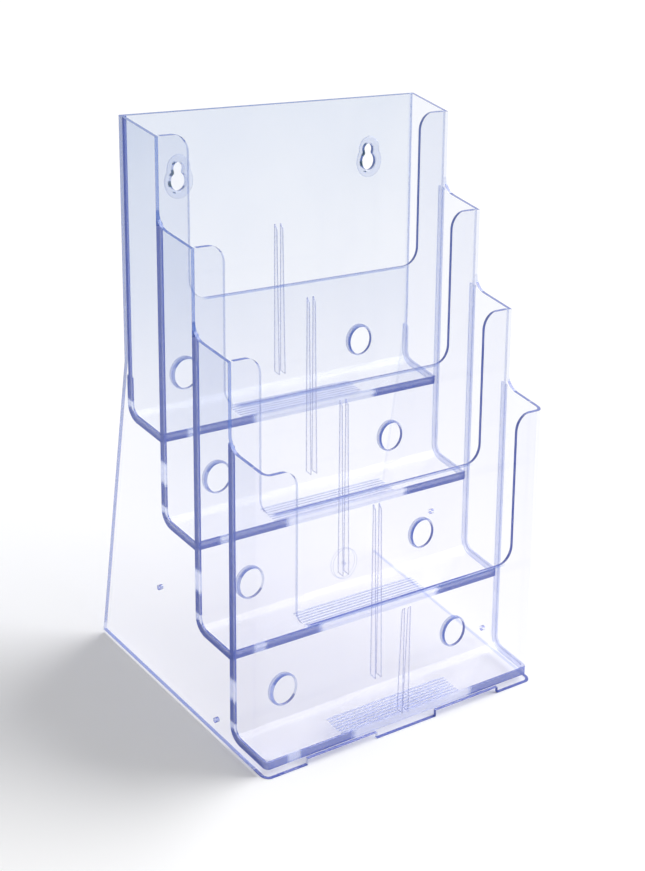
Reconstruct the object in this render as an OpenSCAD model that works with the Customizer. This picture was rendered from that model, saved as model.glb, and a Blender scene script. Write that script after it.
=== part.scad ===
// Four-pocket magazine rack in clear plastic, standing on its own base.
// Four L-shaped trays climb like stairs between two side panels, and a
// front panel with rounded corners closes the lowest pocket.
// Every upright leans back by the same angle, so magazines rest against
// the wall behind them. All sizes are millimetres, +Z is up, the front
// faces -Y and the origin is the middle of the bounding box, on the floor.

/* [Rack] */
// Outside width across the front panel
front_w = 236; // [180:1:320]
// Height from the floor to the top edge
rack_h = 343; // [280:1:440]
// Depth of the footprint on the floor
base_d = 177; // [165:1:215]
// Angle by which every upright leans back
lean = 15; // [8:0.5:18]
// Angle by which each side panel opens towards the back
side_splay = 1.5; // [0:0.1:2.5]

/* [Sheets] */
// Thickness of the side panels
side_t = 2.6; // [2:0.1:4]
// Thickness of the trays and of the front panel
wall_t = 2.2; // [1.6:0.1:3.4]
// How far the bead around a tray's joined edges stands out on each face
bead_h = 1.3; // [0.6:0.1:2]
// Width of that bead, from the side panel or the upright that it meets
bead_w = 1.4; // [0.8:0.1:3]

/* [Pockets] */
// Clear distance from one upright to the next, measured level
pocket_gap = 33; // [28:0.5:40]
// Height of each step from one pocket to the next
step_rise = 51.4; // [42:0.2:62]
// Height of the lowest floor's underside above the ground
foot_gap = 5.4; // [4.4:0.2:12]
// Height of a pocket's front lip above its floor's underside
lip_h = 85; // [60:1:94]
// Inside radius of the bend between a tray's back and its floor
bend_r = 9; // [5:0.5:12]

/* [Edges] */
// Outside radius of the front panel's upright corners
corner_r = 6; // [5:0.5:12]
// Length of the front panel's returns along the sides
return_l = 12; // [12:0.5:20]
// Width of each ear beside a front cut-out, at the front panel
ear_w = 25; // [20:1:36]
// Radius of the cut-outs' lower corners
cut_r = 12; // [4:0.5:18]
// Radius of the ears' free upper corners
ear_r = 12; // [4:0.5:18]
// Radius of the hollow corners of the stepped side edges
step_r = 12; // [4:0.5:18]
// Height at which the rear edge turns down to the foot
rear_kink_z = 195; // [175:1:225]

/* [Feet] */
// Height of the two relief notches under the front panel
notch_h = 4; // [1:0.2:4]
// Width of the middle foot between the notches
mid_foot_w = 52; // [30:1:70]
// Width of each foot at the front panel's corners
end_foot_w = 34; // [20:1:50]

/* [Holes] */
// Diameter of the round holes low in every tray back
port_d = 19.4; // [12:0.2:22]
// Distance between the two round holes of a tray
port_span = 150; // [110:1:160]
// Height of those holes above the tray's underside
port_z = 20.8; // [18:0.2:30]
// Diameter of the wide lower end of a keyhole
key_head_d = 12; // [9:0.5:14]
// Diameter of the narrow upper end of a keyhole
key_slot_d = 8; // [5:0.5:8.5]
// Distance from a keyhole's lower centre to its upper one
key_rise = 8; // [6:0.5:10]
// Distance between the two keyholes
key_span = 159; // [120:1:164]
// Distance of the keyholes' lower centres below the top edge, along the wall
key_drop = 43; // [34:1:60]
// Thickness of the raised surround of a keyhole
boss_t = 1.2; // [0.8:0.1:2]
// Width of the raised surround around the keyhole
boss_rim = 5; // [3:0.5:6]
// Diameter of the small link holes in the side panels
link_d = 3.5; // [2.5:0.1:5]

/* [Divider guides] */
// Thickness of one guide rib
guide_t = 1.2; // [0.8:0.1:2]
// Clear slot between the two ribs of a pair
guide_slot = 3.8; // [2.6:0.1:5]
// How far a rib stands out at its upper end
guide_top = 2.4; // [1.5:0.1:3]
// How far a rib stands out at its lower end
guide_foot = 5.4; // [3:0.1:6]
// Distance from a lip's edge down to the upper end of the ribs
guide_drop = 10; // [6:1:20]
// Height of the rear wall's ribs above its tray's underside
guide_rear_h = 108; // [90:1:130]

/* [Grip ribs] */
// Number of ribs on each floor
grip_n = 7; // [4:1:9]
// Spacing of the grip ribs
grip_pitch = 2.5; // [2:0.1:3]
// Height of a grip rib
grip_h = 0.8; // [0.4:0.1:1.2]
// Length of a grip rib
grip_l = 104; // [80:1:130]

/* [Hidden] */
$fn = 96;

pockets = 4;
// Extra reach of cutting shapes past what they cut
over = 20;
// Clearance between the lowest floor's corners and the front panel's bends
corner_clear = 0.3;
// How far a bead runs above the stepped edge, and stops below the rear kink
bead_rise = 2;
bead_stop = 10;
// Distance from the bead along a floor's front edge to the first grip rib
grip_inset = 2.5;
// Share of a grip rib's spacing that the rib fills at its foot and at its crown
grip_foot_share = 0.52;
grip_crown_share = 0.24;
// Link holes: level distance from the front foot, and height
link_rear = [128, 64];
link_front = [54, 9];

tl = tan(lean);
wall_level = wall_t / cos(lean);
pitch = pocket_gap + wall_level;
pitch_n = pitch * cos(lean);
total_d = pockets * pitch + wall_level + rack_h * tl;
total_l = rack_h / cos(lean);
ear_h = rack_h - foot_gap - (pockets - 1) * step_rise;
cut_half = front_w / 2 - ear_w;
notch_w = front_w / 2 - end_foot_w - mid_foot_w / 2;
splay = tan(side_splay);
clear_colour = [0.84, 0.89, 0.97, 0.45];
edge_colour = [0.45, 0.53, 0.85, 0.7];

// Rounds a place to a hundredth of a millimetre
function snap(x) = round(100 * x) / 100;
// Underside of floor i, where 1 is the lowest
function floor_z(i) = foot_gap + (i - 1) * step_rise;
// Top edge of upright i, where 0 is the front panel
function top_z(i) = foot_gap + min(i, pockets - 1) * step_rise + ear_h;
// Edge of the lip of upright i
function lip_z(i) = foot_gap + i * step_rise + lip_h;
// Front face of upright i at height z
function face_y(i, z) = i * pitch + z * tl;
// Half the outside width in the plan, at a distance v behind the front face
function half_w(v) = front_w / 2 + v * splay;

// Puts the front foot at the front of the bounding box
module placed() {
    translate([0, -total_d / 2, 0]) children();
}

// Sweeps a flat shape drawn in depth and height across the rack
module across(w) {
    translate([-w / 2, 0, 0]) rotate([90, 0, 90]) linear_extrude(w) children();
}

// Sweeps a plan shape up along the leaning direction
module along_lean() {
    rotate([-lean, 0, 0])
        translate([0, 0, -base_d]) linear_extrude(total_l + 2 * base_d) children();
}

// Drills or extrudes a shape through a leaning upright: x across, y up the wall
module through_wall(v, t) {
    rotate([-lean, 0, 0])
        translate([0, v + t, 0]) rotate([90, 0, 0]) linear_extrude(t) children();
}

// Distance along the leaning direction of a point at height z on the plane v
function up_lean(v, z) = z / cos(lean) + v * tl;

// Plan outline with rounded front corners, drawn inset by d from the outside
module plan(d, r) {
    slope = sqrt(1 + splay * splay);
    back = base_d + over;
    cx = half_w(0) - d * slope + (d + r) * splay - r * slope;
    tangent = [cx + r / slope, d + r - r * splay / slope];
    for (s = [-1, 1]) translate([s * cx, d + r]) circle(r);
    polygon([[-cx, d], [cx, d], [cx, d + r], tangent,
        [half_w(back) - d * slope, back], [-half_w(back) + d * slope, back],
        [-tangent[0], tangent[1]], [-cx, d + r]]);
}

// Stepped outline of a side panel, in depth and height
module side_profile() {
    difference() {
        union() {
            polygon([[0, 0], [face_y(0, top_z(0)), top_z(0)],
                for (i = [1 : pockets - 1], z = [top_z(i - 1), top_z(i)]) [face_y(i, z), z],
                [face_y(pockets, rack_h) + wall_level, rack_h],
                [face_y(pockets, rear_kink_z) + wall_level, rear_kink_z],
                [base_d, 0]]);
            for (i = [1 : pockets - 1]) hollow_corner(face_y(i, top_z(i - 1)), top_z(i - 1));
        }
        for (p = [link_rear, link_front]) translate(p) circle(d = link_d);
    }
}

// Fills the corner between a level edge and the leaning edge behind it
module hollow_corner(y, z) {
    run = step_r / tan((90 + lean) / 2);
    centre = [y - run, z + step_r];
    difference() {
        polygon([[y, z], [y - run, z], centre, [y + run * sin(lean), z + run * cos(lean)]]);
        translate(centre) circle(step_r);
    }
}

// Space of pocket i grown by d past its back and its floor, in depth and height
module pocket_space(i, d) {
    z = floor_z(i) + wall_t;
    r = bend_r;
    centre = [face_y(i, z + r) - r / cos(lean), z + r];
    far = rack_h + over;
    union() {
        translate(centre) circle(r + d);
        polygon([[centre[0] - base_d, z - d], [centre[0], z - d], centre,
            centre + (r + d) * [cos(lean), -sin(lean)],
            [face_y(i, far) + d / cos(lean), far], [centre[0] - base_d, far]]);
    }
}

// Room that tray i may fill: behind the upright in front, below its own top
module tray_room(i) {
    y = face_y(i - 1, 0) + wall_level;
    polygon([[y - over * tl, -over], [y + top_z(i) * tl, top_z(i)],
        [y + top_z(i) * tl + base_d, top_z(i)], [y + base_d, -over]]);
}

// L-shaped section of tray i, with d more on every face
module tray_section(i, d) {
    intersection() {
        difference() {
            pocket_space(i, wall_t + d);
            pocket_space(i, -d);
        }
        tray_room(i);
    }
}

// Section of tray i grown by the bead, where a side panel backs it
module bead_section(i) {
    bead_top = i == pockets ? rear_kink_z - bead_stop : top_z(i - 1) + bead_rise;
    intersection() {
        tray_section(i, bead_h);
        side_profile();
        translate([-over, -over]) square([total_d + 2 * over, bead_top + over]);
    }
}

// Opening of a front cut-out: straight sides, rounded at lip and ears
module cut_shape(v, i) {
    lip = snap(up_lean(v, lip_z(i)));
    top = snap(up_lean(v + wall_t, top_z(i)));
    half = snap(cut_half + v * splay);
    for (s = [-1, 1]) translate([s * (half - cut_r), lip + cut_r]) circle(cut_r);
    translate([-half + cut_r, lip]) square([2 * (half - cut_r), 2 * cut_r]);
    translate([-half, lip + cut_r]) square([2 * half, top - lip - cut_r + over]);
    for (s = [-1, 1]) difference() {
        translate([s * (half + ear_r / 2), top + (over - ear_r) / 2])
            square([ear_r, over + ear_r], center = true);
        translate([s * (half + ear_r), top - ear_r]) circle(ear_r);
    }
}

// Cuts the front opening of upright i
module front_cut(i) {
    v = i * pitch_n;
    through_wall(v - wall_t, 3 * wall_t) cut_shape(v, i);
}

module side_panel(s) {
    color(clear_colour) placed() intersection() {
        across(2 * front_w) side_profile();
        along_lean() difference() {
            plan(0, corner_r);
            plan(side_t, corner_r - side_t);
            translate([-front_w, -over]) square([2 * front_w, return_l + over]);
            translate([s > 0 ? -2 * front_w : 0, -over]) square([2 * front_w, 2 * total_d]);
        }
    }
}

module front_panel() {
    color(clear_colour) placed() difference() {
        intersection() {
            across(2 * front_w) translate([-over, 0]) square([base_d, top_z(0)]);
            along_lean() intersection() {
                difference() {
                    plan(0, corner_r);
                    translate([0, wall_t - side_t]) plan(side_t, corner_r - side_t);
                }
                translate([-front_w, 0]) square([2 * front_w, return_l]);
            }
        }
        front_cut(0);
        for (s = [-1, 1]) translate([s * (mid_foot_w / 2 + notch_w / 2), 0, 0])
            cube([notch_w, 2 * (wall_t + corner_r), 2 * notch_h], center = true);
    }
}

// Round holes of tray i, square to its back
module ports(i) {
    v = i * pitch_n;
    through_wall(v - over / 2, over)
        for (s = [-1, 1]) translate([s * port_span / 2, up_lean(v, floor_z(i) + port_z)])
            circle(d = port_d);
}

// Outline of a keyhole grown by d: two circles and the neck between them
module keyhole(d) {
    circle(d = key_head_d + 2 * d);
    translate([0, key_rise]) circle(d = key_slot_d + 2 * d);
    neck = min(key_slot_d, key_head_d) + 2 * d;
    translate([-neck / 2 * 0.9, 0]) square([neck * 0.9, key_rise]);
}

function key_up() = up_lean(pockets * pitch_n, rack_h) - key_drop;

module tray(i) {
    color(clear_colour) placed() difference() {
        intersection() {
            union() {
                across(2 * front_w) tray_section(i, 0);
                tray_beads(i);
            }
            along_lean() plan(side_t, corner_r - side_t + corner_clear);
        }
        if (i > 1) tray_beads(i - 1);
        if (i < pockets) front_cut(i);
        ports(i);
        if (i == pockets) through_wall(i * pitch_n - wall_t, 3 * wall_t)
            for (s = [-1, 1]) translate([s * key_span / 2, key_up()]) keyhole(0);
    }
}

// Beads at both ends of tray i and along its floor's front edge
module tray_beads(i) {
    clear_v = (i - 1) * pitch_n + wall_t + bead_w;
    difference() {
        across(2 * front_w) bead_section(i);
        along_lean() intersection() {
            plan(side_t + bead_w, corner_r);
            translate([-front_w, clear_v]) square([2 * front_w, 2 * base_d]);
        }
    }
}

module guide_pair(i, rear, z_low, z_high) {
    side = rear ? 1 : -1;
    y = rear ? wall_level : 0;
    for (s = [-1, 1]) translate([s * (guide_slot + guide_t) / 2, 0, 0]) across(guide_t)
        polygon([[face_y(i, z_low) + y, z_low],
            [face_y(i, z_low) + y + side * guide_foot, z_low],
            [face_y(i, z_high - guide_top) + y + side * guide_top, z_high - guide_top],
            [face_y(i, z_high) + y, z_high]]);
}

module guide_ribs_front() {
    color(edge_colour) placed()
        guide_pair(0, true, floor_z(1) + wall_t + bead_h, lip_z(0) - guide_drop);
}

module guide_ribs(i) {
    high = i == pockets ? floor_z(i) + guide_rear_h : lip_z(i) - guide_drop;
    color(edge_colour) placed() guide_pair(i, false, floor_z(i) + wall_t + bend_r, high);
}

module grip_ribs(i) {
    z = floor_z(i) + wall_t;
    y0 = face_y(i - 1, z) + wall_level + bead_w + grip_inset;
    foot = grip_pitch * grip_foot_share;
    crown = grip_pitch * grip_crown_share;
    color(edge_colour) placed() for (k = [0 : grip_n - 1])
        translate([0, y0 + k * grip_pitch, z]) across(grip_l)
            polygon([[-foot / 2, 0], [foot / 2, 0], [crown / 2, grip_h], [-crown / 2, grip_h]]);
}

module keyhole_surround(s) {
    v = pockets * pitch_n - boss_t;
    color(edge_colour) placed() through_wall(v, boss_t)
        translate([s * key_span / 2, key_up()]) difference() {
            keyhole(boss_rim);
            keyhole(0);
        }
}

side_panel(-1);  // side_panel_left
side_panel(1);  // side_panel_right
front_panel();
tray(1);  // tray_1_lowest
tray(2);  // tray_2
tray(3);  // tray_3
tray(4);  // tray_4_rear
guide_ribs_front();  // guide_ribs_front_panel
guide_ribs(1);  // guide_ribs_tray_1
guide_ribs(2);  // guide_ribs_tray_2
guide_ribs(3);  // guide_ribs_tray_3
guide_ribs(4);  // guide_ribs_tray_4
grip_ribs(1);  // grip_ribs_floor_1
grip_ribs(2);  // grip_ribs_floor_2
grip_ribs(3);  // grip_ribs_floor_3
grip_ribs(4);  // grip_ribs_floor_4
keyhole_surround(-1);  // keyhole_surround_left
keyhole_surround(1);  // keyhole_surround_right
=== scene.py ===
"""Looks of a clear four-pocket magazine rack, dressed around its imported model.

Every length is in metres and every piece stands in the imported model's own
frame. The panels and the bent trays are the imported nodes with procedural
finishes. The guide ribs, the grip ridges and the keyhole surrounds are new
surfaces with rounded crowns.
"""

import logging
import math
from dataclasses import dataclass
from enum import Enum
from typing import Any, Optional, Sequence, Union

import bpy
import numpy as np
from mathutils import Matrix, Vector


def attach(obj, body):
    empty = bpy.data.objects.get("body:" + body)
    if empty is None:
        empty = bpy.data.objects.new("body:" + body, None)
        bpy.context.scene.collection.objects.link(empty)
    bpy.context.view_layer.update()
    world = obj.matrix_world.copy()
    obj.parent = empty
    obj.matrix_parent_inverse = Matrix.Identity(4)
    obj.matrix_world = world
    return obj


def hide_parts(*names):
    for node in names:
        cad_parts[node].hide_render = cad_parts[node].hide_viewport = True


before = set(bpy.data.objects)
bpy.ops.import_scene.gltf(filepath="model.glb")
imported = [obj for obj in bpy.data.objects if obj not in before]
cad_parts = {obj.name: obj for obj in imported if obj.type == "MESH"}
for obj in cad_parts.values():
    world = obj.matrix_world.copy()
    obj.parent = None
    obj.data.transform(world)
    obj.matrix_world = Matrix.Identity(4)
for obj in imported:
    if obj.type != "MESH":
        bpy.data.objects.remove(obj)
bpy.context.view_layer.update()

LOG = logging.getLogger("magazine_rack")
MM = 0.001
BODY = "root"
Colour = tuple[float, float, float]


# ---------------------------------------------------------------- sizes


@dataclass(frozen=True)
class RackSizes:
    """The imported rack's own sizes, in metres and radians."""

    front_w: float = 236 * MM
    rack_h: float = 343 * MM
    lean: float = math.radians(15)
    side_splay: float = math.radians(1.5)
    side_t: float = 2.6 * MM
    wall_t: float = 2.2 * MM
    bead_h: float = 1.3 * MM
    bead_w: float = 1.4 * MM
    pocket_gap: float = 33 * MM
    step_rise: float = 51.4 * MM
    foot_gap: float = 5.4 * MM
    lip_h: float = 85 * MM
    bend_r: float = 9 * MM
    return_l: float = 12 * MM
    rear_kink_z: float = 195 * MM
    pockets: int = 4
    port_r: float = 9.7 * MM
    port_span: float = 150 * MM
    port_z: float = 20.8 * MM
    key_span: float = 159 * MM
    key_drop: float = 43 * MM
    key_rise: float = 8 * MM
    key_head_r: float = 6 * MM
    key_slot_r: float = 4 * MM
    gate_x: float = 3.5 * MM
    gate_z: float = 72.6 * MM
    gate_r: float = 10.5 * MM

    @property
    def wall_level(self) -> float:
        """Thickness of a leaning wall, measured level."""
        return self.wall_t / math.cos(self.lean)

    @property
    def pitch(self) -> float:
        """Level distance from one upright to the next."""
        return self.pocket_gap + self.wall_level

    @property
    def pitch_n(self) -> float:
        """Distance from one upright to the next, square to them."""
        return self.pitch * math.cos(self.lean)

    @property
    def depth(self) -> float:
        """Whole depth of the rack."""
        return (
            self.pockets * self.pitch
            + self.wall_level
            + self.rack_h * math.tan(self.lean)
        )

    def floor_z(self, i: int) -> float:
        """Underside of floor i, where 1 is the lowest."""
        return self.foot_gap + (i - 1) * self.step_rise

    def top_z(self, i: int) -> float:
        """Top edge of upright i, where 0 is the front panel."""
        steps = min(i, self.pockets - 1) - (self.pockets - 1)
        return self.rack_h + steps * self.step_rise

    def lip_z(self, i: int) -> float:
        """Edge of the lip of upright i."""
        return self.foot_gap + i * self.step_rise + self.lip_h

    def bead_top(self, i: int) -> float:
        """Height at which the side joint of tray i ends."""
        if i == self.pockets:
            return self.rack_h + 10 * MM
        return self.top_z(i - 1) + 2 * MM

    def up_lean(self, v: float, z: float) -> float:
        """Distance up the leaning plane at depth v of a point at height z."""
        return z / math.cos(self.lean) + v * math.tan(self.lean)

    def key_up(self) -> float:
        """Distance up the rear wall of the keyholes' wide centres."""
        return self.up_lean(self.pockets * self.pitch_n, self.rack_h) - self.key_drop

    def lean_point(self, v: np.ndarray, z: np.ndarray) -> tuple[np.ndarray, np.ndarray]:
        """Depth and height of points on a plane square to the walls.

        Args:
            v: Distance behind the front panel's face, square to it.
            z: Height above the floor.

        Returns:
            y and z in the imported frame: y is v divided by the cosine of the
            lean, plus z times its tangent, less half the rack's depth.
        """
        y = v / math.cos(self.lean) + z * math.tan(self.lean) - self.depth / 2
        return y, z


SIZES = RackSizes()


# ---------------------------------------------------------------- shader maths


class Sock:
    """A shader socket, or a number, that can be used in expressions."""

    def __init__(self, graph: "Graph", socket: Any) -> None:
        """Keeps the graph that owns the socket."""
        self.graph = graph
        self.socket = socket

    def _math(self, operation: str, *others: "Value") -> "Sock":
        """Adds one Math node on this value and the others."""
        values = [self, *others]
        return self.graph.math(operation, *values)

    def __add__(self, other: "Value") -> "Sock":
        """Sum."""
        return self._math("ADD", other)

    def __radd__(self, other: "Value") -> "Sock":
        """Sum, reflected."""
        return self.graph.math("ADD", other, self)

    def __sub__(self, other: "Value") -> "Sock":
        """Difference."""
        return self._math("SUBTRACT", other)

    def __rsub__(self, other: "Value") -> "Sock":
        """Difference, reflected."""
        return self.graph.math("SUBTRACT", other, self)

    def __mul__(self, other: "Value") -> "Sock":
        """Product."""
        return self._math("MULTIPLY", other)

    def __rmul__(self, other: "Value") -> "Sock":
        """Product, reflected."""
        return self.graph.math("MULTIPLY", other, self)

    def __pow__(self, other: "Value") -> "Sock":
        """Power."""
        return self._math("POWER", other)

    def __abs__(self) -> "Sock":
        """Size without sign."""
        return self._math("ABSOLUTE")

    def __or__(self, other: "Value") -> "Sock":
        """Union of two masks: the larger value."""
        return self._math("MAXIMUM", other)

    def __and__(self, other: "Value") -> "Sock":
        """Overlap of two masks: their product."""
        return self._math("MULTIPLY", other)

    def sign(self) -> "Sock":
        """Minus one or one, by the value's sign."""
        return self._math("SIGN")

    def rises(self, low: float, high: float) -> "Sock":
        """Mask that climbs smoothly from 0 at low to 1 at high."""
        return self.graph.ramp(self, low, high)

    def falls(self, low: float, high: float) -> "Sock":
        """Mask that sinks smoothly from 1 at low to 0 at high."""
        return 1 - self.graph.ramp(self, low, high)


Value = Union[Sock, float, int]


class Graph:
    """One material's nodes, made through a single method."""

    def __init__(self, name: str) -> None:
        """Starts an empty material with its output node."""
        self.material = bpy.data.materials.new(name)
        self.material.use_nodes = True
        self.tree = self.material.node_tree
        self.tree.nodes.clear()
        self.output = self.tree.nodes.new("ShaderNodeOutputMaterial")

    def node(
        self,
        kind: str,
        settings: Optional[dict[str, Any]] = None,
        inputs: Optional[dict[Union[str, int], Any]] = None,
    ) -> Any:
        """Adds a node.

        Args:
            kind: The node's type, without its ShaderNode prefix.
            settings: Properties that are set before any socket.
            inputs: Socket name or number, to a number, colour or Sock.

        Returns:
            The new node.
        """
        made = self.tree.nodes.new("ShaderNode" + kind)
        for key, value in (settings or {}).items():
            setattr(made, key, value)
        for key, value in (inputs or {}).items():
            if isinstance(value, Sock):
                self.tree.links.new(value.socket, made.inputs[key])
            elif hasattr(value, "bl_idname"):
                self.tree.links.new(value.outputs[0], made.inputs[key])
            else:
                made.inputs[key].default_value = value
        return made

    def out(self, made: Any, name: Union[str, int] = 0) -> Sock:
        """One output of a node as a Sock."""
        return Sock(self, made.outputs[name])

    def math(self, operation: str, *values: Value) -> Sock:
        """Adds a Math node on up to three values."""
        inputs = dict(enumerate(values))
        return self.out(self.node("Math", {"operation": operation}, inputs))

    def ramp(self, value: Sock, low: float, high: float) -> Sock:
        """Smooth step from 0 at low to 1 at high."""
        made = self.node(
            "MapRange",
            {"interpolation_type": "SMOOTHSTEP", "clamp": True},
            {"Value": value, "From Min": low, "From Max": high},
        )
        return self.out(made, "Result")

    def line(self, value: Sock, low: float, high: float) -> Sock:
        """Straight climb from 0 at low to 1 at high, held beyond both."""
        made = self.node(
            "MapRange",
            {"interpolation_type": "LINEAR", "clamp": True},
            {"Value": value, "From Min": low, "From Max": high},
        )
        return self.out(made, "Result")

    def split(self, vector: Sock) -> tuple[Sock, Sock, Sock]:
        """The three parts of a vector."""
        made = self.node("SeparateXYZ", None, {0: vector})
        return self.out(made, 0), self.out(made, 1), self.out(made, 2)

    def blend(self, factor: Value, first: Any, second: Any) -> Sock:
        """Mixes two colours, each a Colour or a Sock."""
        made = self.node("Mix", {"data_type": "RGBA"}, {0: factor})
        for socket, value in ((made.inputs[6], first), (made.inputs[7], second)):
            if isinstance(value, Sock):
                self.tree.links.new(value.socket, socket)
            else:
                socket.default_value = (*value, 1.0)
        return Sock(self, made.outputs[2])

    def finish(self, shader: Any) -> bpy.types.Material:
        """Links the last shader and returns the material."""
        self.tree.links.new(shader.outputs[0], self.output.inputs["Surface"])
        return self.material


# ---------------------------------------------------------------- finishes


class Part(Enum):
    """Which kind of moulded part a clear finish is worked out for."""

    SIDE = "side"
    FRONT = "front"
    TRAY = "tray"
    RIB = "rib"
    RIDGE = "ridge"
    RIM = "rim"


@dataclass(frozen=True)
class ClearTint:
    """Colours and cover of clear plastic on its faces, edges and joints, and the darker,
    bluer tint painted towards the top as painted shade.
    """

    clear_low: Colour = (0.992, 0.990, 0.998)
    # painted shade: the darker, bluer tint the clear sheet is given towards the top
    clear_shaded_top: Colour = (0.893, 0.912, 0.938)
    haze: Colour = (0.06, 0.26, 0.95)
    haze_cover: float = 0.04
    edge_low: Colour = (0.07, 0.11, 0.48)
    # painted shade: the edges' colour towards the top
    edge_shaded_top: Colour = (0.05, 0.13, 0.42)
    joint: Colour = (0.06, 0.11, 0.50)
    edge_cover: float = 0.88
    joint_cover: float = 0.80
    # painted shade: heights over which the top shade climbs from none to full
    clear_z: float = 0.08
    shaded_top_z: float = 0.35


@dataclass(frozen=True)
class Spot:
    """One point of the surface, as sockets."""

    x: Sock
    y: Sock
    z: Sock
    nx: Sock
    ny: Sock
    nz: Sock

    @property
    def square(self) -> Sock:
        """How far the surface faces square to the leaning walls."""
        lean = SIZES.lean
        return abs(self.ny * math.cos(lean) - self.nz * math.sin(lean))

    @property
    def along(self) -> Sock:
        """How far the surface faces up or down the leaning walls."""
        lean = SIZES.lean
        return abs(self.ny * math.sin(lean) + self.nz * math.cos(lean))

    @property
    def across(self) -> Sock:
        """Distance behind the front panel's face, square to the walls."""
        lean = SIZES.lean
        return (self.y + SIZES.depth / 2) * math.cos(lean) - self.z * math.sin(lean)

    @property
    def up(self) -> Sock:
        """Distance up the leaning direction."""
        lean = SIZES.lean
        return (self.y + SIZES.depth / 2) * math.sin(lean) + self.z * math.cos(lean)


@dataclass(frozen=True)
class ClearPlastic:
    """Polished clear plastic: near-clear faces, blue cut edges, deep joints, painted shade
    that darkens it towards the top, and painted glints.
    """

    name: str
    part: Part
    tray: int = 0
    right: bool = False
    # how much painted top shade this part gets
    shade_share: float = 0.35
    tint: ClearTint = ClearTint()
    gloss: float = 0.55

    def material(self) -> bpy.types.Material:
        """Builds the material.

        Returns:
            Clear sheet that lets sight through and tints it darker and bluer
            towards the top as painted shade, mixed with a blue body by where the
            point lies on the moulding, and with a mirror by a facing law.
        """
        g = Graph(self.name)
        place = g.out(g.node("TexCoord"), "Object")
        normal = g.out(g.node("NewGeometry"), "Normal")
        spot = Spot(*g.split(place), *g.split(normal))
        # painted shade: mask that climbs with height, so the sheet, its edges and its haze
        # turn darker and bluer towards the top
        height = g.line(spot.z, self.tint.clear_z, self.tint.shaded_top_z) * self.shade_share
        edge, joint, gone = self.masks(spot)
        tint = self.tint
        flow = g.out(
            g.node("TexNoise", None, {"Vector": place, "Scale": 13.0, "Detail": 3.0}), 0
        )
        # painted shade: the edges' colour shifts with the painted top shade
        edges = g.blend(height, tint.edge_low, tint.edge_shaded_top)
        colour = g.blend(joint, g.blend(edge, tint.haze, edges), tint.joint)
        # the blue haze is the plastic's own tint with random flow; it also grows with the
        # painted top shade
        haze = tint.haze_cover * (0.5 + 1.0 * flow) * (0.15 + 0.85 * height)
        cover = haze + edge * tint.edge_cover + joint * tint.joint_cover
        cover = g.math("MINIMUM", cover, 0.96) * (1 - gone)
        waves = g.node(
            "Bump", None, {"Height": flow, "Strength": 0.25, "Distance": 0.0012}
        )
        low = g.node("BsdfTransparent", None, {0: (*tint.clear_low, 1.0)})
        high = g.node("BsdfTransparent", None, {0: (*tint.clear_shaded_top, 1.0)})
        # painted shade: mix from the near-clear bottom tint to the darker top tint
        shade = (height * (0.85 + 0.3 * flow)) & (1 - gone)
        clear = g.node("MixShader", None, {0: shade, 1: low, 2: high})
        body = g.node(
            "BsdfPrincipled",
            None,
            {
                "Base Color": colour,
                "Roughness": 0.06 + 0.12 * flow,
                "IOR": 1.59,
                "Normal": waves,
            },
        )
        sheet = g.node("MixShader", None, {0: cover, 1: clear, 2: body})
        mirror = g.node(
            "BsdfAnisotropic",
            None,
            {"Color": (0.96, 0.97, 1.0, 1.0), "Roughness": 0.06, "Normal": waves},
        )
        facing = g.out(g.node("LayerWeight", None, {"Blend": 0.5}), "Facing")
        share = (0.03 + 0.8 * facing**5) * (1 - gone) * self.gloss
        return g.finish(g.node("MixShader", None, {0: share, 1: sheet, 2: mirror}))

    def masks(self, spot: Spot) -> tuple[Sock, Sock, Sock]:
        """Works out where the edges, the joints and the hidden seams lie.

        Args:
            spot: The surface point.

        Returns:
            Masks of the edges, of the joints and of the seams that don't show.
            On a tray the joints are paled in stretches by painted glints; on a
            rim the joint mask is nothing but painted dark glints.
        """
        none = spot.z * 0.0
        if self.part is Part.SIDE:
            return self.side_masks(spot, none)
        if self.part is Part.FRONT:
            return self.front_masks(spot, none)
        if self.part is Part.TRAY:
            return self.tray_masks(spot, none)
        if self.part is Part.RIB:
            return abs(spot.nx).falls(0.45, 0.8) * 0.9, none, none
        if self.part is Part.RIM:
            # the rim's joint mask is the painted dark glints, a painted reflection
            return spot.square.falls(0.5, 0.95) * 0.35 + 0.04, self.glints(spot), none
        return none + 0.35, none, none

    def side_masks(self, spot: Spot, none: Sock) -> tuple[Sock, Sock, Sock]:
        """Masks of a side panel: its rim, less the seam with the front."""
        edge = abs(spot.nx).falls(0.3, 0.7)
        seam = spot.across.falls(SIZES.return_l + 0.2 * MM, SIZES.return_l + 0.5 * MM)
        leaning = spot.square.rises(0.5, 0.8)
        lower = spot.z.falls(4 * MM, 6 * MM)
        if self.right:
            leaning = spot.square.rises(0.85, 0.96)
            edge = edge & (1 - leaning * 0.93) & (1 - lower * 0.8)
        else:
            edge = edge & (1 - leaning * 0.35) & (1 - lower * 0.45)
        return edge & (1 - seam), none, edge & seam

    def front_masks(self, spot: Spot, none: Sock) -> tuple[Sock, Sock, Sock]:
        """Masks of the front panel: its rim, its cut-out and its seams."""
        inside = abs(spot.x).falls(0.100, 0.105)
        cut = (abs(spot.nx).rises(0.3, 0.6) & inside) * self.cut_share(spot)
        edge = spot.along.rises(0.3, 0.6) | cut | self.lip_line(spot, 0)
        seam = spot.across.rises(SIZES.return_l - 0.5 * MM, SIZES.return_l - 0.2 * MM)
        return edge, none, spot.square.rises(0.5, 0.8) & seam

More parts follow.
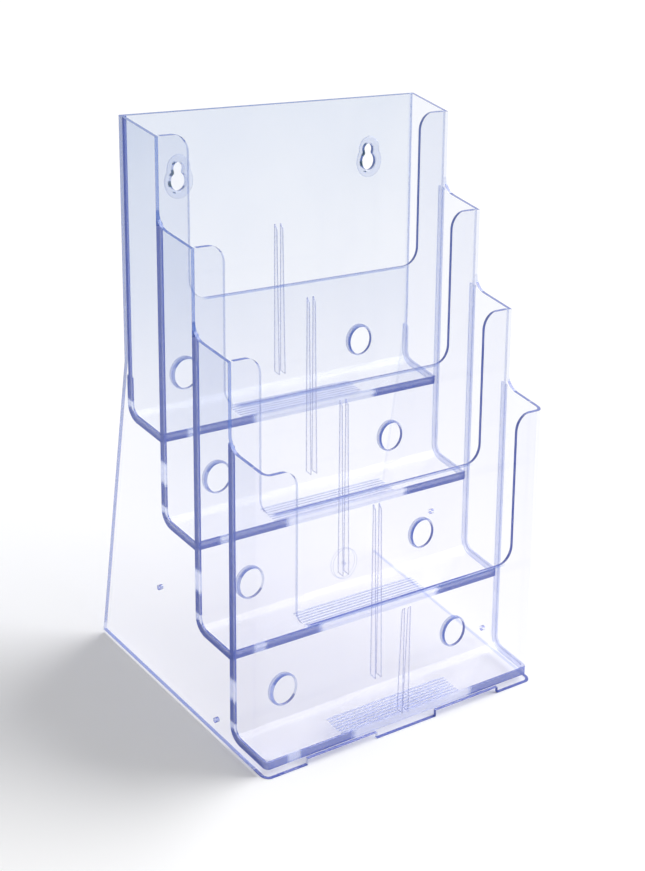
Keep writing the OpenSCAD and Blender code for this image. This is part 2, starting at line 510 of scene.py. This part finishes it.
    def lip_line(self, spot: Spot, i: int) -> Sock:
        """Blue line that gathers just under the lip of upright i."""
        lip = SIZES.lip_z(i)
        near = spot.z.rises(lip - 1.5 * MM, lip - 1.0 * MM)
        near = near & spot.z.falls(lip + 0.4 * MM, lip + 0.8 * MM)
        return (near & abs(spot.x).falls(80 * MM, 88 * MM)) * 0.5

    def cut_share(self, spot: Spot) -> Sock:
        """The cut-outs' upright edges: strong on the right, faint on the left."""
        return 0.38 + 0.75 * spot.x.rises(-20 * MM, 20 * MM)

    def tray_masks(self, spot: Spot, none: Sock) -> tuple[Sock, Sock, Sock]:
        """Masks of a tray: rims and holes, and its joints to its neighbours, which painted
        glints pale in stretches.
        """
        i = self.tray
        low = SIZES.floor_z(i)
        above = spot.z.rises(low + 13 * MM, low + 15 * MM)
        upright = abs(spot.nx).rises(0.2, 0.4)
        level = (spot.ny * spot.nz).rises(0.04, 0.10) | (
            abs(spot.nz).rises(0.5, 0.7) & above
        )
        edge = level | (upright * self.cut_share(spot))
        if i < SIZES.pockets:
            edge = edge | self.lip_line(spot, i)
        inner = SIZES.front_w / 2 - SIZES.side_t
        inner = inner + spot.across * math.tan(SIZES.side_splay)
        outward = abs(spot.x) - inner
        left = spot.x.falls(-20 * MM, 20 * MM)
        top = SIZES.bead_top(i)
        side = outward.rises(-SIZES.bead_w - 0.3 * MM, -SIZES.bead_w - 0.1 * MM)
        ends = side
        side = ends & spot.z.falls(top - 1 * MM, top + 1 * MM)
        # painted glints: the side joint is paled a little under the next floor and where
        # the tray turns into its floor
        if i < SIZES.pockets:
            pale_glint_z = SIZES.floor_z(i + 1) - 20 * MM
            side = side * (1 - 0.75 * abs(spot.z - pale_glint_z).falls(5 * MM, 9 * MM))
        bend = abs(spot.z - (low + 8 * MM)).falls(1.5 * MM, 3.5 * MM)
        side = side * (1 - 0.7 * bend) * (0.08 + 0.92 * left)
        v = (i - 1) * SIZES.pitch_n + SIZES.wall_t + SIZES.bead_w
        front = spot.across.falls(v + 0.1 * MM, v + 0.3 * MM)
        # painted refraction and glint: the front joint is paled along its middle and at
        # one spot near its left end
        middle = abs(spot.x - 8 * MM).falls(48 * MM, 56 * MM)
        glint = abs(spot.x + 93 * MM).falls(3 * MM, 7 * MM)
        front = front * (1 - 0.85 * middle) * (1 - 0.6 * glint)
        joint = side | front
        edge = edge & (1 - ends) | (ends & (1 - left) & edge) * 0.3
        return (edge & (1 - joint)) | self.rings(spot, i), joint, none

    def rings(self, spot: Spot, i: int) -> Sock:
        """Blue crescents around the two round holes of tray i.

        A crescent is the ring from the hole's edge outwards, as wide as one
        millimetre plus a share that is largest up and to the left.
        """
        v = i * SIZES.pitch_n
        centre = SIZES.up_lean(v, SIZES.floor_z(i) + SIZES.port_z)
        du = spot.up - centre
        dx = spot.x - spot.x.sign() * (SIZES.port_span / 2)
        radius = (dx * dx + du * du) ** 0.5
        lean = (du * 0.55 - dx * 0.85) * (1 / SIZES.port_r)
        width = 1.2 * MM + 1.3 * MM * lean
        beyond = radius - SIZES.port_r - width
        wall = spot.square.rises(0.9, 0.95)
        rings = beyond.falls(-0.15 * MM, 0.15 * MM) * 0.5
        return (rings | self.gate(spot)) & wall if i == 2 else rings & wall

    def gate(self, spot: Spot) -> Sock:
        """Faint ring and dot of the moulding gate on the second back."""
        du = spot.up - SIZES.up_lean(2 * SIZES.pitch_n, SIZES.gate_z)
        dx = spot.x - SIZES.gate_x
        radius = (dx * dx + du * du) ** 0.5
        ring = abs(radius - SIZES.gate_r).falls(0.2 * MM, 0.5 * MM) * 0.2
        return ring | radius.falls(1.0 * MM, 1.4 * MM) * 0.25

    def glints(self, spot: Spot) -> Sock:
        """Painted dark glints: broken crescents left of each keyhole's two round ends, a
        painted reflection of the hole's inner wall.
        """
        du = spot.up - SIZES.key_up() - SIZES.key_rise / 2
        dx = spot.x - spot.x.sign() * (SIZES.key_span / 2)
        half = SIZES.key_rise / 2
        head = (dx * dx + (du + half) * (du + half)) ** 0.5 - SIZES.key_head_r
        slot = (dx * dx + (du - half) * (du - half)) ** 0.5 - SIZES.key_slot_r
        near = head.falls(1.8 * MM, 2.4 * MM) | slot.falls(1.4 * MM, 2.0 * MM)
        bars = spot.up.graph.math("SINE", du * 900).rises(-0.3, 0.2)
        return near & dx.falls(-3.4 * MM, -2.6 * MM) & bars


@dataclass(frozen=True)
class FloorFinish:
    """Plain matt white sweep under the rack."""

    name: str = "pale_floor"
    colour: Colour = (0.93, 0.93, 0.935)

    def material(self) -> bpy.types.Material:
        """Builds the floor's material."""
        g = Graph(self.name)
        body = g.node(
            "BsdfPrincipled",
            None,
            {"Base Color": (*self.colour, 1.0), "Roughness": 0.9},
        )
        return g.finish(body)


# ---------------------------------------------------------------- mesh helpers


def loft(points: np.ndarray) -> tuple[np.ndarray, np.ndarray]:
    """Closes a stack of rings into one shell.

    Rings follow each other along the first axis and each ring closes on
    itself along the second. The first and last rings are capped by a fan
    around their own middle.

    Args:
        points: Ring points, shape (rings, ring length, 3).

    Returns:
        Vertices, and triangles as rows of three numbers.
    """
    rings, around, _ = points.shape
    flat = points.reshape(-1, 3)
    middle = np.stack([points[0].mean(0), points[-1].mean(0)])
    i, j = np.meshgrid(np.arange(rings - 1), np.arange(around), indexing="ij")
    k = (j + 1) % around
    a, b = i * around + j, i * around + k
    c, d = a + around, b + around
    walls = np.concatenate(
        [np.stack([a, b, d], -1).reshape(-1, 3), np.stack([a, d, c], -1).reshape(-1, 3)]
    )
    j = np.arange(around)
    k = (j + 1) % around
    first, last = len(flat), len(flat) + 1
    start = (rings - 1) * around
    caps = np.concatenate(
        [
            np.stack([k, j, np.full(around, first)], -1),
            np.stack([start + j, start + k, np.full(around, last)], -1),
        ]
    )
    return np.concatenate([flat, middle]), np.concatenate([walls, caps])


def ring_surface(points: np.ndarray) -> tuple[np.ndarray, np.ndarray]:
    """Closes a grid both ways, as on a ring.

    Args:
        points: Grid points, shape (along, around, 3).

    Returns:
        Vertices, and triangles as rows of three numbers.
    """
    along, around, _ = points.shape
    i, j = np.meshgrid(np.arange(along), np.arange(around), indexing="ij")
    n, k = (i + 1) % along, (j + 1) % around
    a, b = i * around + j, i * around + k
    c, d = n * around + j, n * around + k
    faces = [np.stack([a, b, d], -1), np.stack([a, d, c], -1)]
    return points.reshape(-1, 3), np.concatenate([f.reshape(-1, 3) for f in faces])


def join(
    shells: Sequence[tuple[np.ndarray, np.ndarray]],
) -> tuple[np.ndarray, np.ndarray]:
    """Puts several shells into one pair of arrays."""
    starts = np.cumsum([0] + [len(points) for points, _ in shells[:-1]])
    faces = [tris + start for (_, tris), start in zip(shells, starts)]
    return np.concatenate([points for points, _ in shells]), np.concatenate(faces)


def volume(points: np.ndarray, faces: np.ndarray) -> float:
    """Signed volume: a sixth of each triangle's triple product, summed."""
    a, b, c = (points[faces[:, n]] for n in range(3))
    return float(np.einsum("ij,ij->i", a, np.cross(b, c)).sum() / 6)


def make_piece(
    name: str, points: np.ndarray, faces: np.ndarray, finish: bpy.types.Material
) -> bpy.types.Object:
    """Puts arrays into a smooth-shaded mesh object at the origin.

    Args:
        name: The object's name.
        points: Vertex places in metres.
        faces: Triangles as rows of three numbers.
        finish: The material.

    Returns:
        The new object.
    """
    if volume(points, faces) < 0:
        faces = faces[:, ::-1]
    mesh = bpy.data.meshes.new(name)
    mesh.from_pydata(points.tolist(), [], faces.tolist())
    mesh.shade_smooth()
    mesh.validate()
    mesh.materials.append(finish)
    made = bpy.data.objects.new(name, mesh)
    bpy.context.scene.collection.objects.link(made)
    return made


def adopt(piece: bpy.types.Object, slot: str, *nodes: str) -> None:
    """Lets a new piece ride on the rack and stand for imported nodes."""
    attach(piece, BODY)
    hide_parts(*nodes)
    LOG.info("%s stands for %s", piece.name, ", ".join(nodes))


def dress(node: str, finish: bpy.types.Material) -> None:
    """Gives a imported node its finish."""
    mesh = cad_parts[node].data
    for n in range(max(1, len(mesh.materials))):
        if n < len(mesh.materials):
            mesh.materials[n] = finish
        else:
            mesh.materials.append(finish)
    LOG.info("%s dressed in %s", node, finish.name)


# ---------------------------------------------------------------- pieces


@dataclass
class Shell:
    """The two side panels and the front panel that stand around the trays."""

    left: str = "side_panel_left"
    right: str = "side_panel_right"
    front: str = "front_panel"
    # painted shade: how much top shade each side panel gets, more on the left than on the
    # right
    left_shade_share: float = 0.85
    right_shade_share: float = 0.4

    def build(self) -> None:
        """Dresses the three panels."""
        for node in (self.left, self.right):
            right = node == self.right
            shade_share = self.right_shade_share if right else self.left_shade_share
            finish = ClearPlastic(
                node + "_clear", Part.SIDE, right=right, shade_share=shade_share
            )
            dress(node, finish.material())
        dress(self.front, ClearPlastic("front_panel_clear", Part.FRONT).material())


@dataclass
class Trays:
    """The four bent trays that climb like stairs."""

    names: tuple[str, ...] = ("tray_1_lowest", "tray_2", "tray_3", "tray_4_rear")
    # painted shade: how much top shade each tray gets, most on the rear one
    tray_shade_shares: tuple[float, ...] = (0.35, 0.45, 0.6, 1.0)

    def build(self) -> None:
        """Dresses each tray; its joints follow its own height."""
        for i, node in enumerate(self.names, start=1):
            shade_share = self.tray_shade_shares[i - 1]
            finish = ClearPlastic(
                f"tray_{i}_clear", Part.TRAY, tray=i, shade_share=shade_share
            )
            dress(node, finish.material())


@dataclass
class GuideRibs:
    """Pairs of tapered ribs that hold divider cards upright."""

    thickness: float = 1.2 * MM
    slot: float = 3.8 * MM
    top: float = 2.4 * MM
    foot: float = 5.4 * MM
    drop: float = 10 * MM
    rear_height: float = 108 * MM
    tip: float = 0.15 * MM
    squareness: float = 0.35
    rings: int = 40
    around: int = 20

    def rib(self, wall: int, rear: bool, low: float, high: float, x: float) -> Any:
        """One rib as a stack of rounded sections.

        Along the rib the stand-out sinks in a straight line from the foot to
        the top, then the last stretch runs into the wall. Around a section,
        the half width times a squarish cosine gives x, and the stand-out
        times the same squarish sine gives the distance from the wall.

        Args:
            wall: Number of the upright that carries the rib.
            rear: True for a rib on the upright's rear face.
            low: Height of the lower end.
            high: Height of the upper end.
            x: Middle of the rib.

        Returns:
            Vertices and triangles of a closed shell.
        """
        t = np.linspace(0, 1, self.rings)[:, None]
        a = np.linspace(0, 2 * math.pi, self.around, endpoint=False)[None, :]
        z = low + (high - low) * t
        reach = self.foot + (self.top - self.foot) * t
        reach = np.minimum(reach, high - z + self.tip)
        wide = np.sign(np.cos(a)) * np.abs(np.cos(a)) ** self.squareness
        deep = np.sign(np.sin(a)) * np.abs(np.sin(a)) ** self.squareness
        side = 1.0 if rear else -1.0
        start = SIZES.wall_t if rear else 0.0
        stand = reach * (0.5 + 0.5 * deep) * math.cos(SIZES.lean)
        out = start * np.ones_like(z) + side * stand
        y, height = SIZES.lean_point(wall * SIZES.pitch_n + out, z + 0 * a)
        across = x + 0.5 * self.thickness * wide + 0 * t
        return loft(np.stack([across, y, height], -1))

    def pair(self, node: str, wall: int, rear: bool, low: float, high: float) -> None:
        """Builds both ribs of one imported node."""
        half = (self.slot + self.thickness) / 2
        shells = [self.rib(wall, rear, low, high, s * half) for s in (-1, 1)]
        piece = make_piece(node + "_rounded", *join(shells), self.finish)
        adopt(piece, "guide_rib", node)

    def build(self) -> None:
        """Builds the five pairs."""
        self.finish = ClearPlastic(
            "guide_rib_clear", Part.RIB, tint=ClearTint(edge_cover=0.5)
        ).material()
        low = SIZES.floor_z(1) + SIZES.wall_t + SIZES.bead_h
        self.pair("guide_ribs_front_panel", 0, True, low, SIZES.lip_z(0) - self.drop)
        for i in range(1, SIZES.pockets + 1):
            floor = SIZES.floor_z(i)
            low = floor + SIZES.wall_t + SIZES.bend_r
            high = SIZES.lip_z(i) - self.drop
            if i == SIZES.pockets:
                high = floor + self.rear_height
            self.pair(f"guide_ribs_tray_{i}", i, False, low, high)


@dataclass
class GripRidges:
    """Seven low ridges across the middle of each pocket's floor."""

    count: int = 7
    pitch: float = 2.5 * MM
    height: float = 0.8 * MM
    length: float = 104 * MM
    foot_share: float = 0.52
    inset: float = 2.5 * MM
    rings: int = 26
    around: int = 14

    def ridge(self, y0: float, z0: float) -> Any:
        """One ridge: a half round crown that sinks to nothing at both ends.

        Along the ridge the crown's height is the full height times the
        fourth root of one less the place squared, and around a section the
        cosine gives the depth and the sine, cut off at the floor, the height.

        Args:
            y0: Middle of the ridge.
            z0: Upper face of the floor.

        Returns:
            Vertices and triangles of a closed shell.
        """
        s = np.linspace(-1, 1, self.rings)[:, None]
        s = np.sign(s) * (1 - (1 - np.abs(s)) ** 2)
        a = np.linspace(0, 2 * math.pi, self.around, endpoint=False)[None, :]
        swell = np.maximum(1 - np.abs(s) ** 12, 0.02) ** 0.5
        x = s * self.length / 2 + 0 * a
        y = y0 + 0.5 * self.pitch * self.foot_share * np.cos(a) + 0 * s
        z = z0 + self.height * swell * np.maximum(np.sin(a), -0.02)
        return loft(np.stack([x, y, z], -1))

    def build(self) -> None:
        """Builds the ridges of all four floors."""
        finish = ClearPlastic(
            "grip_ridge_clear", Part.RIDGE, tint=ClearTint(edge_cover=0.6)
        ).material()
        for i in range(1, SIZES.pockets + 1):
            z0 = SIZES.floor_z(i) + SIZES.wall_t
            v = (i - 1) * SIZES.pitch_n
            y, _ = SIZES.lean_point(np.array(v), np.array(z0))
            y0 = float(y) + SIZES.wall_level + SIZES.bead_w + self.inset
            shells = [self.ridge(y0 + k * self.pitch, z0) for k in range(self.count)]
            node = f"grip_ribs_floor_{i}"
            piece = make_piece(node + "_rounded", *join(shells), finish)
            adopt(piece, "grip_rib", node)


@dataclass
class KeyholeSurrounds:
    """Raised, rounded rims around the two keyholes of the rear wall."""

    head_r: float = 6 * MM
    slot_r: float = 4 * MM
    rise: float = SIZES.key_rise
    span: float = SIZES.key_span
    thickness: float = 1.2 * MM
    rim: float = 5 * MM
    neck_share: float = 0.9
    along: int = 96
    around: int = 20

    def outline(self, angle: np.ndarray, grow: np.ndarray) -> np.ndarray:
        """Distance from the keyhole's middle to its grown outline.

        The outline is the farthest of three: where a ray leaves the wide
        circle, where it leaves the narrow circle and where it leaves the
        neck between them.

        Args:
            angle: Direction of the ray, from level, anticlockwise.
            grow: How far the outline is grown.

        Returns:
            The distance, same shape as the inputs.
        """
        up = np.sin(angle)
        half = self.rise / 2
        head = -half * up + np.sqrt((half * up) ** 2 - half**2 + (self.head_r + grow) ** 2)
        under = np.maximum((half * up) ** 2 - half**2 + (self.slot_r + grow) ** 2, 0)
        slot = half * up + np.sqrt(under)
        neck = (self.slot_r + grow) * self.neck_share
        tiny = 1e-9
        leave = np.minimum(
            neck / (np.abs(np.cos(angle)) + tiny), half / (np.abs(up) + tiny)
        )
        return np.maximum(np.maximum(head, slot), leave)

    def build(self) -> None:
        """Builds both surrounds."""
        finish = ClearPlastic(
            "surround_clear",
            Part.RIM,
            # the joint colour here is the dark teal of the painted dark glints, a painted
            # reflection
            tint=ClearTint(edge_cover=0.6, joint=(0.02, 0.08, 0.12)),
        ).material()
        lean = SIZES.lean
        v = SIZES.pockets * SIZES.pitch_n
        up_wall = SIZES.key_up()
        for side, name in ((-1, "left"), (1, "right")):
            t = np.linspace(0, 2 * math.pi, self.along, endpoint=False)[:, None]
            a = np.linspace(0, 2 * math.pi, self.around, endpoint=False)[None, :]
            grow = self.rim * (0.5 + 0.5 * np.cos(a)) + 0 * t
            lift = self.thickness * np.maximum(np.sin(a), 0) ** 0.6 + 0 * t
            reach = self.outline(t + 0 * a, grow)
            x = side * self.span / 2 + reach * np.cos(t)
            u = up_wall + self.rise / 2 + reach * np.sin(t)
            w = v - lift
            y = w * math.cos(lean) + u * math.sin(lean) - SIZES.depth / 2
            z = -w * math.sin(lean) + u * math.cos(lean)
            node = f"keyhole_surround_{name}"
            shell = ring_surface(np.stack([x, y, z], -1))
            adopt(make_piece(node + "_rounded", *shell, finish), "surround", node)


# ---------------------------------------------------------------- studio


@dataclass(frozen=True)
class Studio:
    """Floor, lights and camera."""

    floor_half: float = 6.0
    floor_drop: float = 2e-4
    frame_w: int = 645
    frame_h: int = 871
    focal: float = 1743.325
    yaw: float = -0.77228
    pitch: float = -0.48354
    roll: float = 0.19797
    eye: tuple[float, float, float] = (-0.71374, -0.71868, 0.68688)
    film_h: float = 24.0
    fill: float = 0.53
    sun: float = 3.1
    sun_spread: float = 55.0
    flag_h: float = 0.17
    flag_slope: float = 0.8
    flag_front: tuple[float, float] = (-0.1195, -0.112)
    flag_rear: tuple[float, float] = (-0.1235, 0.056)
    sun_from: tuple[float, float, float] = (0.80, -0.05, 0.58)

    def build(self) -> None:
        """Sets the stage, the lights and the camera."""
        self.floor()
        self.flag()
        self.lights()
        self.camera()

    def floor(self) -> None:
        """A wide flat sheet just under the feet."""
        h = self.floor_half
        mesh = bpy.data.meshes.new("floor")
        z = -self.floor_drop
        corners = [(-h, -h, z), (h, -h, z), (h, h, z), (-h, h, z)]
        mesh.from_pydata(corners, [], [(0, 1, 2, 3)])
        mesh.materials.append(FloorFinish().material())
        made = bpy.data.objects.new("floor", mesh)
        bpy.context.scene.collection.objects.link(made)

    def lights(self) -> None:
        """White surroundings, dimmer for what they light, and a soft sun."""
        world = bpy.data.worlds.new("white_room")
        world.use_nodes = True
        tree = world.node_tree
        shade = tree.nodes["Background"]
        shade.inputs["Color"].default_value = (1, 1, 1, 1)
        path = tree.nodes.new("ShaderNodeLightPath")
        seen = tree.nodes.new("ShaderNodeMath")
        seen.operation = "MAXIMUM"
        tree.links.new(path.outputs["Is Camera Ray"], seen.inputs[0])
        tree.links.new(path.outputs["Is Glossy Ray"], seen.inputs[1])
        level = tree.nodes.new("ShaderNodeMapRange")
        level.inputs["To Min"].default_value = self.fill
        level.inputs["To Max"].default_value = 1.0
        tree.links.new(seen.outputs[0], level.inputs["Value"])
        tree.links.new(level.outputs[0], shade.inputs["Strength"])
        bpy.context.scene.world = world
        data = bpy.data.lights.new("soft_sun", "SUN")
        data.energy = self.sun
        data.angle = math.radians(self.sun_spread)
        made = bpy.data.objects.new("soft_sun", data)
        aim = -Vector(self.sun_from)
        made.rotation_euler = aim.to_track_quat("-Z", "Y").to_euler()
        bpy.context.scene.collection.objects.link(made)

    def flag(self) -> None:
        """An unseen card along the left foot that deepens its soft shadow."""
        (x0, y0), (x1, y1) = self.flag_front, self.flag_rear
        low = self.flag_h * self.flag_slope
        mesh = bpy.data.meshes.new("flag")
        corners = [(x0, y0, 0), (x1, y1, 0), (x1, y1, self.flag_h), (x0, y0, low)]
        mesh.from_pydata(corners, [], [(0, 1, 2, 3)])
        made = bpy.data.objects.new("flag", mesh)
        made.visible_camera = False
        made.visible_glossy = False
        made.visible_diffuse = False
        bpy.context.scene.collection.objects.link(made)

    def camera(self) -> None:
        """Places the camera from its turn, tilt and roll."""
        cy, sy = math.cos(self.yaw), math.sin(self.yaw)
        cx, sx = math.cos(self.pitch), math.sin(self.pitch)
        cr, sr = math.cos(self.roll), math.sin(self.roll)
        turn = np.array([[cy, sy, 0], [-sy, cy, 0], [0, 0, 1]])
        tilt = np.array([[1, 0, 0], [0, cx, sx], [0, -sx, cx]])
        bank = np.array([[cr, 0, sr], [0, 1, 0], [-sr, 0, cr]])
        rows = bank @ tilt @ turn
        data = bpy.data.cameras.new("camera")
        data.sensor_fit = "VERTICAL"
        data.sensor_height = self.film_h
        data.lens = self.focal * self.film_h / self.frame_h
        data.clip_start, data.clip_end = 0.01, 50.0
        made = bpy.data.objects.new("camera", data)
        basis = np.column_stack([rows[0], rows[2], -rows[1]])
        pose = Matrix(basis.tolist()).to_4x4()
        pose.translation = Vector(self.eye)
        made.matrix_world = pose
        bpy.context.scene.collection.objects.link(made)
        bpy.context.scene.camera = made


def settle_light_paths() -> None:
    """Lets sight pass through every clear layer and keeps whites plain."""
    scene = bpy.context.scene
    scene.cycles.transparent_max_bounces = 96
    scene.cycles.max_bounces = 8
    scene.view_settings.view_transform = "Standard"
    scene.view_settings.look = "None"


def main() -> None:
    """Builds the rack's looks in order, then the studio."""
    logging.basicConfig(level=logging.INFO, format="%(message)s")
    Shell().build()
    Trays().build()
    GuideRibs().build()
    GripRidges().build()
    KeyholeSurrounds().build()
    Studio().build()
    settle_light_paths()


if __name__ == "__main__":
    main()
